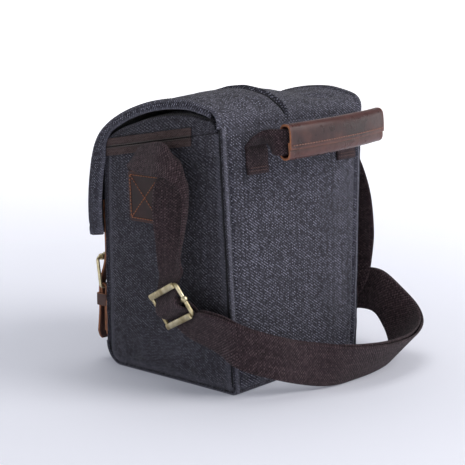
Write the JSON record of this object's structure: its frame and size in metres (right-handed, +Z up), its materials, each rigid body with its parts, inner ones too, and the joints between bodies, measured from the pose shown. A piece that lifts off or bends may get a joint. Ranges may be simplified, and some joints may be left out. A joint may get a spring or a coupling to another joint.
{
  "type": "camera bag",
  "caption": "Small boxy canvas camera bag with a domed buckled flap, a zipped lid, a leather-wrapped top handle, a webbing shoulder strap and padded movable dividers.",
  "frame": {"origin": "centre of the base at the level it stands on", "axes": "+Z up; the flap's front faces -Y, the back panel with the handle faces +Y, and +X is the bag's side with the strap adjuster"},
  "size_m": [0.2525, 0.2382, 0.241],
  "materials": {
    "canvas": "matt woven",
    "webbing": "matt woven",
    "leather": "satin",
    "brass": "satin",
    "foam": "matt",
    "board": "matt",
    "lining": "matt",
    "zip_tape": "matt woven"
  },
  "bodies": {
    "body": {"back_panel": "canvas", "front_panel": "canvas", "base_panel": "canvas", "padding_back": "foam", "padding_front": "foam", "padding_base": "foam", "base_board": "board", "lining": "lining", "zip_tape_lower": "zip_tape", "strap_drop_right": "webbing", "strap_loop": "webbing", "strap_drop_left": "webbing", "strap_ring": "brass", "adjuster_frame": "brass", "adjuster_centre_bar": "brass", "gusset_right": "canvas", "padding_right": "foam", "strap_patch_right": "leather", "front_patch_right": "leather", "snap_socket_right": "brass", "handle_tab_right": "webbing", "gusset_left": "canvas", "padding_left": "foam", "strap_patch_left": "leather", "front_patch_left": "leather", "snap_socket_left": "brass", "handle_tab_left": "webbing"},
    "lid": {"lid_top": "canvas", "lid_side_right": "canvas", "lid_side_left": "canvas", "lid_padding": "foam", "zip_tape_upper": "zip_tape"},
    "flap": {"flap_panel": "canvas", "flap_lining": "lining", "flap_band_right": "canvas", "flap_band_left": "canvas", "flap_strap_right": "leather", "snap_strap_right": "leather", "keeper_right": "leather", "buckle_frame_right": "brass", "snap_stud_right": "brass", "flap_strap_left": "leather", "snap_strap_left": "leather", "keeper_left": "leather", "buckle_frame_left": "brass", "snap_stud_left": "brass"},
    "handle": {"handle_webbing": "webbing", "handle_grip": "leather"},
    "slider": {"zip_slider": "brass"},
    "pull": {"zip_pull": "brass"},
    "roller_right": {"buckle_roller_right": "brass"},
    "prong_right": {"buckle_prong_right": "brass"},
    "divider_body_right": {"divider_right": "lining"},
    "roller_left": {"buckle_roller_left": "brass"},
    "prong_left": {"buckle_prong_left": "brass"},
    "divider_body_left": {"divider_left": "lining"}
  },
  "joints": [
    {"name": "flap_hinge", "type": "hinge", "parent": "body", "child": "flap", "pos_m": [0, 0.0689, 0.22015], "axis": [-1, 0, 0], "range_deg": [0, 110]},
    {"name": "lid_hinge", "type": "hinge", "parent": "body", "child": "lid", "pos_m": [0, 0.0689, 0.22015], "axis": [-1, 0, 0], "range_deg": [0, 100]},
    {"name": "handle_hinge", "type": "hinge", "parent": "body", "child": "handle", "pos_m": [-0.008, 0.0715, 0.205], "axis": [-1, 0, 0], "range_deg": [-42, 52]},
    {"name": "zip_slide", "type": "slide", "parent": "body", "child": "slider", "axis": [0.0075, -0.9864, -0.1645], "range_m": [0, 0.065]},
    {"name": "zip_pull_hinge", "type": "hinge", "parent": "slider", "child": "pull", "pos_m": [-0.0989, 0.022, 0.2099], "axis": [0, 0, 1], "range_deg": [0, 100]},
    {"name": "prong_hinge_right", "type": "hinge", "parent": "flap", "child": "prong_right", "pos_m": [0.074, -0.0813, 0.0675], "axis": [1, 0, 0], "range_deg": [0, 35]},
    {"name": "roller_spin_right", "type": "hinge", "parent": "flap", "child": "roller_right", "pos_m": [0.074, -0.0852, 0.094], "axis": [1, 0, 0], "continuous": true},
    {"name": "divider_slide_right", "type": "slide", "parent": "body", "child": "divider_body_right", "axis": [1, 0, 0], "range_m": [-0.014, 0.014]},
    {"name": "prong_hinge_left", "type": "hinge", "parent": "flap", "child": "prong_left", "pos_m": [-0.074, -0.0813, 0.0675], "axis": [1, 0, 0], "range_deg": [0, 35]},
    {"name": "roller_spin_left", "type": "hinge", "parent": "flap", "child": "roller_left", "pos_m": [-0.074, -0.0852, 0.094], "axis": [1, 0, 0], "continuous": true},
    {"name": "divider_slide_left", "type": "slide", "parent": "body", "child": "divider_body_left", "axis": [1, 0, 0], "range_m": [-0.014, 0.014]}
  ],
  "couplings": [
    {"joint": "lid_hinge", "follows": "flap_hinge", "ratio": 0.9}
  ]
}
